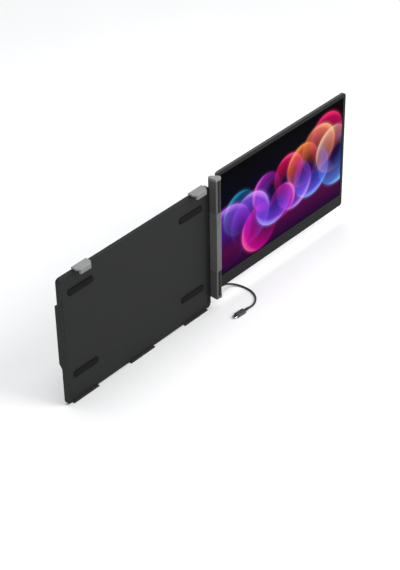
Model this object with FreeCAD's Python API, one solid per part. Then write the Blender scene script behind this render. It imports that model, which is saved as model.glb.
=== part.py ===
"""Screen extender: a bracket that hooks over the top edge of a flat panel, with a monitor on a friction
hinge at its right side.

Millimetres, +Z up, +X to the user's right, +Y away from the user. The pieces are built upright in a
working frame whose X = 0, Y = 0 line is the hinge axis and whose Z = 0 is the desk. The whole device is
then leaned back about the X axis, cut flat where it meets the desk, and moved so that the origin is the
middle of the base of its box. The cord lies on the desk and isn't leaned.
"""
import FreeCAD, Part
import math
import os

V = FreeCAD.Vector

# Overall
lean_angle = 1.6              # the whole device leans back
desk_gap = 2.0                # height of the bracket's lower edge over the desk
wall = 2.0                    # moulded walls
fit_gap = 0.3                 # between pieces that seat on each other
sliding_gap = 0.5             # between pieces that move past each other

# Slot between the clips' lips and the bracket's pads
slot_front = 2.5              # behind the hinge axis
slot_depth = 7.4

# Bracket
bracket_width = 363.0
bracket_height = 260.0
bracket_depth = 7.0
bracket_corner = 7.0
bottom_foot_length = 60.0
bottom_foot_lip = 4.0         # the feet reach forward of the bracket
bottom_foot_inset = 12.0
pad_thickness = 2.0
pad_length = 56.0
pad_height = 12.0
pad_side_inset = 20.0
pad_low_inset = 48.0
pad_high_inset = 42.0
steel_thickness = 1.2
steel_inset = 6.0             # from the bracket's sides
margin_width = 7.0            # raised ribbed margin down each side of the front
margin_rise = 0.8
rib_pitch = 6.5
rib_width = 2.6
rib_end_inset = 1.0
rib_slope = 0.3               # share of a groove's width that each sloped flank takes
screw_head_radius = 2.2
screw_shank_radius = 1.1
screw_head_thickness = 1.2
screw_slot_depth = 0.5
screw_slot_width = 0.6
cover_screw_side = 7.0        # the outer screws' axes from the bracket's sides
cover_screw_low = 14.0
cover_screw_high = 46.0
cover_screw_length = 2.6
housing_screw_side = 9.0
housing_screw_low = 9.0       # from the housing's top

# Raised housing across the bracket's back
housing_bottom = 76.0
housing_top = 207.0
housing_depth = 6.0
housing_bevel = 9.0
housing_wall = 1.6
housing_edge = 1.5            # chamfer along the top

# Hinge column
knuckle_bottom = 84.0
knuckle_top = 208.0
column_bottom = 23.0
column_top = 279.5
barrel_radius = 4.5
pin_radius = 2.0
pin_clearance = 0.05
backbone_width = 5.0
backbone_gap = 0.6            # from the backbone to the turning barrel
backbone_front = -4.0
backbone_back = 14.0
cap_thickness = 5.0
cap_overhang = 0.6            # of the caps past the barrel
cap_edge_round = 1.0
pin_end_inset = 3.0           # from the column's ends
column_edge_round = 1.2
knuckle_skin = 1.6
knuckle_face = 1.5
washer_thickness = 0.8
knuckle_front_rise = 0.5
swing_back = 40.0             # degrees that the monitor can turn back past the bracket's plane

# Sliding carriage
tongue_length = 250.0
tongue_thickness = 2.5
tongue_height = 86.0
rail_height = 5.0
rail_end_inset = 3.0

# Monitor
monitor_depth = 8.0
monitor_wall = 1.4
monitor_bottom = 33.5
monitor_corner = 5.0
monitor_front = 5.5
monitor_side_gap = 1.2        # from the barrel to the monitor's left side
display_width = 344.7
display_height = 215.4
top_bezel = 6.5
side_bezel = 6.9
chin_height = 25.6
bezel_thickness = 1.5
glass_thickness = 1.1
glass_recess = 0.3
backlight_thickness = 2.4
backlight_margin = 0.5        # past the display's edges
cover_edge_round = 1.5
bezel_edge_round = 0.8
board_thickness = 1.2
board_width = 116.8
board_height = 118.0
board_low = 22.0              # from the monitor's lower edge
flex_low = 38.0               # from the board's lower edge
flex_width = 15.0
flex_thickness = 0.3
leaf_thickness = 1.5
leaf_reach = 12.0
leaf_inset = 4.0              # from the ends of its barrel
leaf_back_gap = 0.4           # to the cover's inner face
leaf_rib_front = 1.0          # of the rib between barrel and leaf, behind the hinge axis
boss_radius = 2.0
monitor_screw_side = 24.0
monitor_screw_shortening = 1.5

# Buttons and sockets on the monitor's right side
button_length = 10.0
button_height = 2.6
button_stand = 0.6
button_root = 0.2             # of the cap inside the wall
button_edge_round = 0.3
button_setback = 1.4          # from the bezel
button_travel = 0.4
button_pitch = 16.0
power_button_height = 92.0
socket_width = 8.4
socket_height = 2.6
socket_wall = 0.4
socket_length = 6.0
socket_setback = 0.2          # behind the side's face
socket_base = 1.0
socket_to_leaf = 2.2
port_pitch = 22.0
first_port_height = 148.0

# Clips on top of the bracket
clip_left_offset = 51.6       # clip centres from the bracket's sides
clip_right_offset = 31.2
clip_width = 34.0
clip_front_width = 23.0
clip_thickness = 3.4
clip_top = 269.0
clip_lip_drop = 9.5
clip_lip_thickness = 3.0
clip_pad_thickness = 1.2
clip_taper_start = 4.0        # behind the lip's back face
clip_edge_round = 1.2
clip_lip_flare = 1.5
clip_root = 0.5               # how far the lip and the stem run up into the head
stem_width = 26.0
stem_thickness = 1.2
stem_length = 60.0
guide_width = 4.0
guide_below = 12.0            # past the stem's lower end
guide_above = 6.0             # from the bracket's upper wall

# Kickstand
leg_width = 200.0
leg_centre = -190.0
leg_thickness = 3.0
leg_axis_height = 66.0
leg_pin_radius = 1.2
lug_width = 7.0
lug_radius = 4.0
lug_rise = 3.0                # on the housing's bevel
lug_root = 2.0                # on the bracket's back
lug_cover = 1.0               # past the pin's ends
leg_hub_wall = 1.2
foot_side_inset = 6.0
foot_thickness = 3.0
foot_press = 0.436797         # how far the foot's middle reaches below the desk before it is cut flat
leg_fold = 141.6

# Cord at the bracket's back
cord_diameter = 3.6
arc_share = 0.45              # of the shorter run, on each side of a point, that its arc takes
elbow_x = -42.0
elbow_height = 22.0
elbow_length = 21.0
elbow_width = 11.0
elbow_depth = 7.0
elbow_edge_round = 2.0
elbow_tip_length = 2.2
tip_tongue_thickness = 1.4
base_board_width = 32.0
base_board_thickness = 0.8
base_board_above = 9.0        # over the socket's middle
base_board_below = 13.0
board_window_gap = 3.0        # from the base board to the steel plate
relief_length = 12.0
relief_tip_radius = 2.3
relief_root_radius = 3.0
plug_length = 20.0
plug_width = 11.0
plug_thickness = 6.6
plug_tip_length = 6.6
plug_tip_width = 8.3
plug_tip_height = 2.5
plug_tip_wall = 0.6
plug_tip_round = 1.1
plug_edge_round = 2.2
plug_x = 17.5
plug_y = -43.5
plug_turn = -3.0              # the plug lies a little out of square on the desk

# Worked out from the values above
pad_front = slot_front + slot_depth
bracket_front = pad_front + pad_thickness
bracket_back = bracket_front + bracket_depth
housing_back = bracket_back + housing_depth
backbone_right = -barrel_radius - backbone_gap
backbone_left = backbone_right - backbone_width
bracket_right = backbone_left - sliding_gap
bracket_left = bracket_right - bracket_width
bracket_bottom = desk_gap
bracket_top = bracket_bottom + bracket_height
cavity_front = bracket_front + wall
cover_front = bracket_back - wall
steel_front = cavity_front + fit_gap
stem_front = steel_front + steel_thickness + fit_gap / 2
monitor_width = display_width + 2 * side_bezel
monitor_height = display_height + top_bezel + chin_height
monitor_left = barrel_radius + monitor_side_gap
monitor_right = monitor_left + monitor_width
monitor_back = monitor_front + monitor_depth
monitor_top = monitor_bottom + monitor_height
display_top = monitor_top - top_bezel
display_bottom = display_top - display_height
leaf_back = monitor_back - monitor_wall - leaf_back_gap
leaf_front = leaf_back - leaf_thickness
socket_front = leaf_front - socket_to_leaf
boss_offset = monitor_wall + boss_radius - fit_gap
cap_radius = barrel_radius + cap_overhang
tongue_front = bracket_back + (housing_depth - housing_wall - tongue_thickness) / 2
tongue_middle = (housing_bottom + housing_top + housing_bevel) / 2
leg_axis_y = housing_back + sliding_gap + leg_thickness / 2
pin_reach = leg_width / 2 + lug_width - lug_cover
slant = math.radians(lean_angle)
leg_axis_rise = leg_axis_height * math.cos(slant) - leg_axis_y * math.sin(slant)
leg_length = -(leg_axis_rise + foot_press) / math.cos(slant + math.radians(leg_fold))
clip_centres = {"left": bracket_left + clip_left_offset, "right": bracket_right - clip_right_offset}
cord_radius = cord_diameter / 2
cut_margin = 1.0              # how far a cut runs past the faces that it opens
edge_sense = 0.1              # how near a face an edge lies to belong to it

pieces = {}


def box(x0, x1, y0, y1, z0, z1):
    """A box between two corners."""
    return Part.makeBox(x1 - x0, y1 - y0, z1 - z0, V(x0, y0, z0))


def panel(x0, x1, y0, y1, z0, z1, corner):
    """A box in the XZ plane with its four corners rounded about Y."""
    shape = box(x0, x1, y0, y1, z0, z1)
    edges = [e for e in shape.Edges if abs(e.Vertexes[0].Y - e.Vertexes[1].Y) > (y1 - y0) / 2]
    return shape.makeFillet(corner, edges)


def prism(points, z0, z1):
    """A solid with the given XY outline between two heights."""
    wire = Part.makePolygon([V(x, y, z0) for x, y in points + points[:1]])
    return Part.Face(wire).extrude(V(0, 0, z1 - z0))


def side_prism(points, x0, x1):
    """A solid with the given YZ outline between two X values."""
    wire = Part.makePolygon([V(x0, y, z) for y, z in points + points[:1]])
    return Part.Face(wire).extrude(V(x1 - x0, 0, 0))


def post(radius, x, y, z0, z1):
    """An upright cylinder."""
    return Part.makeCylinder(radius, z1 - z0, V(x, y, z0))


def rod(radius, x0, x1, y, z):
    """A cylinder along X."""
    return Part.makeCylinder(radius, x1 - x0, V(x0, y, z), V(1, 0, 0))


def bored(shape, radius, x, y, z0, z1):
    """The shape with an upright hole through it."""
    return shape.cut(post(radius, x, y, z0 - cut_margin, z1 + cut_margin))


def add(name, shape):
    """Keeps a sub-part under its node name."""
    pieces[name] = shape if isinstance(shape, Part.Compound) else shape.removeSplitter()


def group(name, shapes):
    """Keeps several separate solids as one sub-part."""
    pieces[name] = Part.makeCompound(shapes)


def screw(x, y_head, z, length, direction):
    """A countersunk screw along Y: the head is flush at y_head, the shank goes in along direction."""
    head = Part.makeCylinder(screw_head_radius, screw_head_thickness, V(x, y_head, z), V(0, direction, 0))
    shank = Part.makeCylinder(screw_shank_radius, length, V(x, y_head, z), V(0, direction, 0))
    slot = box(x - screw_head_radius, x + screw_head_radius, y_head - screw_slot_depth,
               y_head + screw_slot_depth, z - screw_slot_width / 2, z + screw_slot_width / 2)
    return head.fuse(shank).cut(slot)


def screw_room(x, y_head, z, length, direction):
    """The hole that a screw needs."""
    head = Part.makeCylinder(screw_head_radius + fit_gap / 2, screw_head_thickness + fit_gap / 2,
                             V(x, y_head, z), V(0, direction, 0))
    shank = Part.makeCylinder(screw_shank_radius + fit_gap / 2, length + fit_gap,
                              V(x, y_head, z), V(0, direction, 0))
    return head.fuse(shank)


# Bracket body

cover_inset = wall + fit_gap
cover_screw_lefts = (bracket_left + cover_screw_side, bracket_left + bracket_width / 2,
                     bracket_right - cover_screw_side)
cover_screw_places = [(x, z) for x in cover_screw_lefts
                      for z in (bracket_bottom + cover_screw_low, bracket_top - cover_screw_high)]


def build_front_panel():
    """The moulded front shell: a shallow tray that opens to the back, with ribbed margins in front."""
    shell = panel(bracket_left, bracket_right, bracket_front, bracket_back,
                  bracket_bottom, bracket_top, bracket_corner)
    cavity = panel(bracket_left + wall, bracket_right - wall, cavity_front, bracket_back + cut_margin,
                   bracket_bottom + wall, bracket_top - wall, bracket_corner - wall)
    shell = shell.cut(cavity)
    for x in clip_centres.values():
        half = stem_width / 2 + sliding_gap
        shell = shell.cut(box(x - half, x + half, stem_front - fit_gap / 2,
                              stem_front + stem_thickness + fit_gap / 2,
                              bracket_top - wall - cut_margin, bracket_top + cut_margin))
    for x0, x1 in ((bracket_left, bracket_left + margin_width), (bracket_right - margin_width, bracket_right)):
        shell = shell.fuse(box(x0, x1, bracket_front - margin_rise, bracket_front,
                               bracket_bottom + bracket_corner, bracket_top - bracket_corner))
        count = int((bracket_height - 4 * bracket_corner) / rib_pitch)
        for i in range(count):
            z = bracket_bottom + 2 * bracket_corner + i * rib_pitch
            flank = rib_width * rib_slope
            groove = side_prism([(bracket_front - margin_rise - fit_gap, z),
                                 (bracket_front - margin_rise - fit_gap, z + rib_width),
                                 (bracket_front, z + rib_width - flank), (bracket_front, z + flank)],
                                x0 + rib_end_inset, x1 - rib_end_inset)
            shell = shell.cut(groove)
    return shell


def build_back_cover():
    """The flat cover that closes the tray, with the screw holes and the slot for the socket."""
    cover = panel(bracket_left + cover_inset, bracket_right - cover_inset, cover_front, bracket_back,
                  bracket_bottom + cover_inset, bracket_top - cover_inset, bracket_corner - wall)
    for x, z in cover_screw_places:
        cover = cover.cut(screw_room(x, bracket_back, z, cover_screw_length, -1))
    half_w = socket_width / 2 + fit_gap
    half_h = socket_height / 2 + fit_gap
    slot = box(elbow_x - half_w, elbow_x + half_w, cover_front - cut_margin, bracket_back + cut_margin,
               elbow_height - half_h, elbow_height + half_h)
    return cover.cut(slot)


def build_steel_plate():
    """The stiffening plate inside the tray, with a window for the socket board."""
    steel_back = steel_front + steel_thickness
    plate = panel(bracket_left + steel_inset, bracket_right - steel_inset, steel_front, steel_back,
                  bracket_bottom + steel_inset, bracket_top - steel_inset, bracket_corner - wall)
    half = base_board_width / 2 + board_window_gap
    return plate.cut(box(elbow_x - half, elbow_x + half, steel_front - cut_margin, steel_back + cut_margin,
                         bracket_bottom, elbow_height + base_board_above + board_window_gap))


def build_rear_housing():
    """The raised cover across the back, open inside for the carriage, with lugs for the kickstand."""
    outline = [(bracket_back, housing_bottom), (bracket_back, housing_top),
               (housing_back - housing_edge, housing_top), (housing_back, housing_top - housing_edge),
               (housing_back, housing_bottom + housing_bevel)]
    body = side_prism(outline, bracket_left, bracket_right)
    room = box(bracket_left + housing_wall, bracket_right + cut_margin, bracket_back + fit_gap,
               housing_back - housing_wall, tongue_middle - tongue_height / 2 - rail_height - fit_gap,
               tongue_middle + tongue_height / 2 + rail_height + fit_gap)
    body = body.cut(room)
    for side in (-1, 1):
        x = leg_centre + side * (leg_width / 2 + sliding_gap + lug_width / 2)
        lug = side_prism([(bracket_back, housing_bottom + lug_root),
                          (bracket_back, leg_axis_height - lug_radius),
                          (leg_axis_y, leg_axis_height - lug_radius),
                          (leg_axis_y, leg_axis_height + lug_radius),
                          (housing_back, housing_bottom + housing_bevel + lug_rise)],
                         x - lug_width / 2, x + lug_width / 2)
        lug = lug.fuse(rod(lug_radius, x - lug_width / 2, x + lug_width / 2, leg_axis_y, leg_axis_height))
        body = body.fuse(lug)
    body = body.cut(rod(leg_pin_radius, leg_centre - pin_reach, leg_centre + pin_reach,
                        leg_axis_y, leg_axis_height))
    for x, z in housing_screw_places:
        body = body.cut(screw_room(x, housing_back, z, housing_screw_length, -1))
    return body


housing_screw_length = housing_depth - 0.2
housing_screw_places = [(x, housing_top - housing_screw_low)
                        for x in (bracket_left + housing_screw_side, bracket_left + bracket_width / 2,
                                  bracket_right - housing_screw_side - margin_width)]


def build_bracket():
    """The pieces of the fixed bracket."""
    add("front_panel", build_front_panel())
    add("back_cover", build_back_cover())
    add("steel_plate", build_steel_plate())
    add("rear_housing", build_rear_housing())
    group("cover_screws", [screw(x, bracket_back, z, cover_screw_length, -1) for x, z in cover_screw_places])
    group("housing_screws", [screw(x, housing_back, z, housing_screw_length, -1)
                             for x, z in housing_screw_places])
    pad_lefts = (bracket_left + pad_side_inset, bracket_right - pad_side_inset - pad_length)
    group("bracket_pads", [panel(x, x + pad_length, pad_front, bracket_front, z, z + pad_height, pad_height / 4)
                       for x in pad_lefts
                       for z in (bracket_bottom + pad_low_inset, bracket_top - pad_high_inset)])
    guides = []
    for x in clip_centres.values():
        for side in (-1, 1):
            edge = x + side * (stem_width / 2 + sliding_gap)
            x0, x1 = sorted((edge, edge + side * guide_width))
            guides.append(box(x0, x1, steel_front + steel_thickness, cover_front,
                              bracket_top - wall - stem_length - guide_below,
                              bracket_top - wall - guide_above))
    group("clip_guides", guides)
    rails = []
    for side in (-1, 1):
        edge = tongue_middle + side * (tongue_height / 2 + fit_gap / 2)
        z0, z1 = sorted((edge, edge + side * rail_height))
        rails.append(box(bracket_left + housing_wall + fit_gap, bracket_right - rail_end_inset,
                         bracket_back + fit_gap, housing_back - housing_wall, z0, z1))
    group("carriage_rails", rails)
    add("kickstand_pin", rod(leg_pin_radius, leg_centre - pin_reach, leg_centre + pin_reach,
                             leg_axis_y, leg_axis_height))
    board_back = steel_front + base_board_thickness
    board = box(elbow_x - base_board_width / 2, elbow_x + base_board_width / 2, steel_front, board_back,
                elbow_height - base_board_below, elbow_height + base_board_above)
    add("base_board", board)
    half_w, half_h = socket_width / 2, socket_height / 2
    socket = box(elbow_x - half_w, elbow_x + half_w, board_back, bracket_back,
                 elbow_height - half_h, elbow_height + half_h)
    hollow = box(elbow_x - half_w + socket_wall, elbow_x + half_w - socket_wall, board_back + socket_wall,
                 bracket_back + cut_margin, elbow_height - half_h + socket_wall,
                 elbow_height + half_h - socket_wall)
    add("base_socket", socket.cut(hollow))
    middle = (bracket_left + bracket_right - bottom_foot_length) / 2
    group("bottom_feet", [box(x, x + bottom_foot_length, bracket_front - bottom_foot_lip, bracket_back,
                              -desk_gap, bracket_bottom)
                          for x in (bracket_left + bottom_foot_inset, middle,
                                    bracket_right - bottom_foot_inset - bottom_foot_length)])


# Clips

def build_clip(side):
    """A hook on a stem that slides in the bracket, with a soft liner under it."""
    x = clip_centres[side]
    lip_back = slot_front - fit_gap
    lip_front = lip_back - clip_lip_thickness
    corner = lip_back + clip_taper_start
    stem_back = stem_front + stem_thickness
    under = clip_top - clip_thickness
    half, front_half = clip_width / 2, clip_front_width / 2
    head = prism([(x - half, stem_back), (x - half, corner), (x - front_half, lip_front),
                  (x + front_half, lip_front), (x + half, corner), (x + half, stem_back)], under, clip_top)
    top_edges = [e for e in head.Edges if min(v.Z for v in e.Vertexes) > clip_top - edge_sense]
    head = head.makeFillet(clip_edge_round, top_edges)
    lip = prism([(x - front_half - clip_lip_flare, lip_back), (x - front_half, lip_front),
                 (x + front_half, lip_front), (x + front_half + clip_lip_flare, lip_back)],
                clip_top - clip_lip_drop, under + clip_root)
    stem = box(x - stem_width / 2, x + stem_width / 2, stem_front, stem_back,
               bracket_top - wall - stem_length, under + clip_root)
    add("clip_%s_hook" % side, head.fuse(lip).fuse(stem))
    pad = box(x - front_half, x + front_half, lip_back, pad_front - fit_gap,
              under - clip_pad_thickness, under)
    add("clip_%s_liner" % side, pad)


# Hinge column and carriage

def build_carriage():
    """The sliding carriage: tongue, backbone, fixed knuckle, caps, pin and washers."""
    arm_back = tongue_front + tongue_thickness
    tongue = box(bracket_right - tongue_length, backbone_left, tongue_front, arm_back,
                 tongue_middle - tongue_height / 2, tongue_middle + tongue_height / 2)
    add("carriage_tongue", tongue)
    backbone = box(backbone_left, backbone_right, backbone_front, backbone_back,
                   column_bottom + cap_thickness, column_top - cap_thickness)
    front_edges = [e for e in backbone.Edges
                   if abs(e.Vertexes[0].Z - e.Vertexes[-1].Z) > cap_thickness
                   and max(v.Y for v in e.Vertexes) < backbone_front + edge_sense]
    backbone = backbone.makeFillet(column_edge_round, front_edges)
    seat = box(backbone_left - cut_margin, backbone_left + knuckle_skin, backbone_front - cut_margin,
               backbone_back + cut_margin, knuckle_bottom, knuckle_top)
    seat = seat.fuse(box(backbone_left - cut_margin, backbone_right + cut_margin, backbone_front - cut_margin,
                         backbone_front + knuckle_face, knuckle_bottom, knuckle_top))
    add("hinge_backbone", backbone.cut(seat))
    front = -barrel_radius - knuckle_front_rise
    skin = box(backbone_left, backbone_left + knuckle_skin - fit_gap / 2, front + knuckle_face / 2, arm_back,
               knuckle_bottom, knuckle_top)
    face = box(backbone_left, 0, front, backbone_front + knuckle_face - fit_gap / 2,
               knuckle_bottom, knuckle_top)
    web = box(backbone_right + fit_gap / 2, 0, -barrel_radius, barrel_radius, knuckle_bottom, knuckle_top)
    knuckle = post(barrel_radius + knuckle_front_rise, 0, 0, knuckle_bottom, knuckle_top)
    knuckle = knuckle.fuse([skin, face, web])
    add("hinge_knuckle", bored(knuckle, pin_radius, 0, 0, knuckle_bottom, knuckle_top))
    turn = math.radians(swing_back)
    touch = (cap_radius * math.cos(turn), cap_radius * math.sin(turn))
    slope_end = (backbone_right, (cap_radius - backbone_right * math.cos(turn)) / math.sin(turn))
    cap_outline = [(backbone_left, backbone_front), (backbone_right, backbone_front), (0, -cap_radius), touch,
                   (backbone_right, min(slope_end[1], backbone_back)), (backbone_right, backbone_back),
                   (backbone_left, backbone_back)]
    if slope_end[1] >= backbone_back:
        cap_outline.pop(4)

    def end_cap(z0, z1):
        return prism(cap_outline, z0, z1).fuse(post(cap_radius, 0, 0, z0, z1)).removeSplitter()

    cap = end_cap(column_top - cap_thickness, column_top)
    top_edges = [e for e in cap.Edges if min(v.Z for v in e.Vertexes) > column_top - edge_sense]
    cap = cap.makeFillet(cap_edge_round, top_edges)
    pin_low, pin_high = column_bottom + pin_end_inset, column_top - pin_end_inset
    socket = post(pin_radius, 0, 0, pin_low, pin_high)
    add("column_cap", cap.cut(socket))
    add("column_foot", end_cap(column_bottom, column_bottom + cap_thickness).cut(socket))
    add("hinge_pin", post(pin_radius, 0, 0, pin_low, pin_high))
    washers = []
    for z in (column_bottom + cap_thickness, knuckle_bottom - washer_thickness, knuckle_top,
              column_top - cap_thickness - washer_thickness):
        ring = post(barrel_radius - 0.4, 0, 0, z, z + washer_thickness)
        washers.append(bored(ring, pin_radius, 0, 0, z, z + washer_thickness))
    group("friction_washers", washers)


# Monitor

def barrel_leaf(z0, z1):
    """The barrel of the monitor's side of the hinge, with the leaf that screws into the monitor."""
    root, tip = barrel_radius / 2, monitor_left - fit_gap
    rib = prism([(root, leaf_rib_front), (barrel_radius, leaf_rib_front), (tip, monitor_front),
                 (tip, monitor_back - leaf_rib_front), (root, monitor_back - barrel_radius)], z0, z1)
    tube = post(barrel_radius, 0, 0, z0, z1).fuse(rib)
    neck = box(tip - leaf_rib_front, monitor_left + leaf_reach, leaf_front, leaf_back,
               z0 + leaf_inset, z1 - leaf_inset)
    return bored(tube.fuse(neck), pin_radius + pin_clearance, 0, 0, z0, z1)


def build_monitor():
    """The second screen with its shells, panel, boards, hinge leaves, sockets and screws."""
    z_low = column_bottom + cap_thickness + washer_thickness
    z_high = column_top - cap_thickness - washer_thickness
    lower = barrel_leaf(z_low, knuckle_bottom - washer_thickness)
    upper = barrel_leaf(knuckle_top + washer_thickness, z_high)
    inner_left, inner_right = monitor_left + monitor_wall, monitor_right - monitor_wall
    cavity_y = monitor_front + bezel_thickness
    shell = panel(monitor_left, monitor_right, cavity_y, monitor_back, monitor_bottom, monitor_top,
                  monitor_corner)
    back_edges = [e for e in shell.Edges if min(v.Y for v in e.Vertexes) > monitor_back - edge_sense]
    shell = shell.makeFillet(cover_edge_round, back_edges)
    shell = shell.cut(panel(inner_left, inner_right, cavity_y - cut_margin, monitor_back - monitor_wall,
                            monitor_bottom + monitor_wall, monitor_top - monitor_wall,
                            monitor_corner - monitor_wall))
    for z0, z1 in ((z_low, knuckle_bottom - washer_thickness), (knuckle_top + washer_thickness, z_high)):
        low = max(z0 + leaf_inset, monitor_bottom + monitor_corner)
        shell = shell.cut(box(monitor_left - cut_margin, inner_left + cut_margin, leaf_front - fit_gap / 2,
                              leaf_back + fit_gap / 2, low - fit_gap / 2, z1 - leaf_inset + fit_gap / 2))
    clear = box(barrel_radius, monitor_left + leaf_reach + cut_margin, 0, monitor_back, column_bottom,
                monitor_bottom + monitor_corner)
    lower = lower.cut(clear)
    add("barrel_lower", lower)
    add("barrel_upper", upper)
    bezel = panel(monitor_left, monitor_right, monitor_front, cavity_y, monitor_bottom, monitor_top,
                  monitor_corner)
    front_edges = [e for e in bezel.Edges if max(v.Y for v in e.Vertexes) < monitor_front + edge_sense]
    bezel = bezel.makeFillet(bezel_edge_round, front_edges)
    window = box(monitor_left + side_bezel, monitor_right - side_bezel, monitor_front - cut_margin,
                 cavity_y + cut_margin, display_bottom, display_top)
    add("monitor_bezel", bezel.cut(window))
    add("display_panel", box(monitor_left + side_bezel + fit_gap / 2, monitor_right - side_bezel - fit_gap / 2,
                             monitor_front + glass_recess, monitor_front + glass_recess + glass_thickness,
                             display_bottom + fit_gap / 2, display_top - fit_gap / 2))
    module_y = cavity_y + pin_clearance
    add("backlight_module", box(monitor_left + side_bezel, monitor_right - side_bezel, module_y,
                                module_y + backlight_thickness, display_bottom - backlight_margin,
                                display_top + backlight_margin))
    board_y = monitor_back - monitor_wall - board_thickness - fit_gap / 2
    board_right = inner_right - 2 * button_travel
    board_left = board_right - board_width
    board_bottom = monitor_bottom + board_low
    add("monitor_board", box(board_left, board_right, board_y, board_y + board_thickness,
                             board_bottom, board_bottom + board_height))
    sockets = []
    for i in range(2):
        z = first_port_height + i * port_pitch
        hole = box(monitor_right - monitor_wall - socket_length, monitor_right + cut_margin,
                   socket_front - fit_gap / 2, socket_front + socket_height + fit_gap / 2,
                   z - fit_gap / 2, z + socket_width + fit_gap / 2)
        shell = shell.cut(hole)
        outer = box(monitor_right - socket_length, monitor_right - socket_setback, socket_front,
                    socket_front + socket_height, z, z + socket_width)
        inner = box(monitor_right - socket_length + socket_base, monitor_right + cut_margin,
                    socket_front + socket_wall, socket_front + socket_height - socket_wall,
                    z + socket_wall, z + socket_width - socket_wall)
        sockets.append(outer.cut(inner))
    group("monitor_sockets", sockets)
    button_y = cavity_y + button_setback
    for i, name in enumerate(("power", "plus", "minus")):
        z = power_button_height - i * button_pitch
        hole = box(monitor_right - monitor_wall - cut_margin, monitor_right + cut_margin,
                   button_y - fit_gap / 2, button_y + button_height + fit_gap / 2,
                   z - fit_gap / 2, z + button_length + fit_gap / 2)
        shell = shell.cut(hole)
        cap = box(monitor_right - monitor_wall - button_root, monitor_right + button_stand, button_y,
                  button_y + button_height, z, z + button_length)
        outer_edges = [e for e in cap.Edges if min(v.X for v in e.Vertexes) > monitor_right]
        add("%s_button" % name, cap.makeFillet(button_edge_round, outer_edges))
    screw_lefts = (monitor_left + monitor_screw_side, monitor_left + monitor_width / 2,
                   monitor_right - monitor_screw_side)
    screw_places = [(x, z) for x in screw_lefts
                    for z in (monitor_bottom + boss_offset, monitor_top - boss_offset)]
    screw_length = monitor_depth - bezel_thickness - monitor_screw_shortening
    for x, z in screw_places:
        pillar = Part.makeCylinder(boss_radius, monitor_depth - bezel_thickness - monitor_wall / 2,
                                   V(x, cavity_y, z), V(0, 1, 0))
        shell = shell.fuse(pillar)
    for x, z in screw_places:
        shell = shell.cut(screw_room(x, monitor_back, z, screw_length, -1))
    add("monitor_back_cover", shell)
    group("monitor_screws", [screw(x, monitor_back, z, screw_length, -1) for x, z in screw_places])
    flex_bottom = board_bottom + flex_low
    add("flex_cable", box(monitor_left + leaf_reach + fit_gap, board_left - fit_gap, board_y,
                          board_y + flex_thickness, flex_bottom, flex_bottom + flex_width))


# Kickstand

def build_kickstand():
    """The flip-out leg, built folded up and then turned down to the desk."""
    x0, x1 = leg_centre - leg_width / 2, leg_centre + leg_width / 2
    y0, y1 = leg_axis_y - leg_thickness / 2, leg_axis_y + leg_thickness / 2
    z1 = leg_axis_height + leg_length - foot_thickness
    leg = box(x0, x1, y0, y1, leg_axis_height, z1)
    leg = leg.fuse(rod(leg_thickness / 2 + leg_hub_wall, x0, x1, leg_axis_y, leg_axis_height))
    leg = leg.cut(rod(leg_pin_radius + pin_clearance, x0 - cut_margin, x1 + cut_margin,
                      leg_axis_y, leg_axis_height))
    foot = box(x0 + foot_side_inset, x1 - foot_side_inset, y0, y1, z1, z1 + foot_thickness)
    for name, shape in (("kickstand_leg", leg), ("kickstand_foot", foot)):
        shape.rotate(V(0, leg_axis_y, leg_axis_height), V(1, 0, 0), -leg_fold)
        add(name, shape)


# Cord

def tube_along(points, radius):
    """A tube of straight runs joined by tangent arcs, with its path's length; prints the radii."""
    edges, start, radii = [], V(*points[0]), []
    for before, here, after in zip(points, points[1:], points[2:]):
        a, b, c = V(*before), V(*here), V(*after)
        into, out = (b - a), (c - b)
        short = min(into.Length, out.Length)
        into.normalize()
        out.normalize()
        half = into.getAngle(out) / 2
        cut = arc_share * short
        bend = cut / math.tan(half)
        radii.append(round(bend, 1))
        p0, p1 = b - into * cut, b + out * cut
        middle = (p0 + p1) / 2
        towards = (middle - b)
        towards.normalize()
        centre = b + towards * (bend / math.cos(half))
        p_mid = centre - towards * bend
        edges.append(Part.LineSegment(start, p0).toShape())
        edges.append(Part.Arc(p0, p_mid, p1).toShape())
        start = p1
    edges.append(Part.LineSegment(start, V(*points[-1])).toShape())
    path = Part.Wire(edges)
    first = V(*points[1]) - V(*points[0])
    ring = Part.Wire([Part.makeCircle(radius, V(*points[0]), first)])
    tube = path.makePipeShell([ring], True, False)
    ideal = math.pi * radius ** 2 * path.Length
    print("cord: length %.1f, radii %s, volume share %.4f" % (path.Length, radii, tube.Volume / ideal))
    return tube


plug_heading = math.radians(plug_turn)
plug_z = plug_thickness / 2
plug_relief_end = (plug_x + relief_length * math.cos(plug_heading),
                   plug_y + relief_length * math.sin(plug_heading))
elbow_middle = bracket_back + elbow_depth / 2
cord_exit = (elbow_x + elbow_length / 2 + relief_length,
             elbow_middle * math.cos(slant) + elbow_height * math.sin(slant),
             elbow_height * math.cos(slant) - elbow_middle * math.sin(slant))
cord_route = [cord_exit, (-6.0, 23.8, 19.6), (10.0, 24.6, 12.5), (26.0, 26.5, 4.6), (42.0, 29.5, 1.9),
              (54.0, 28.2, 1.9), (65.0, 21.5, 1.9), (71.0, 9.0, 1.9), (72.5, -5.5, 1.9), (70.5, -20.0, 1.9),
              (63.5, -32.5, 1.9), (52.0, -41.0, 1.9), (40.5, -44.6, 2.0),
              (plug_relief_end[0], plug_relief_end[1], plug_z)]


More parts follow.
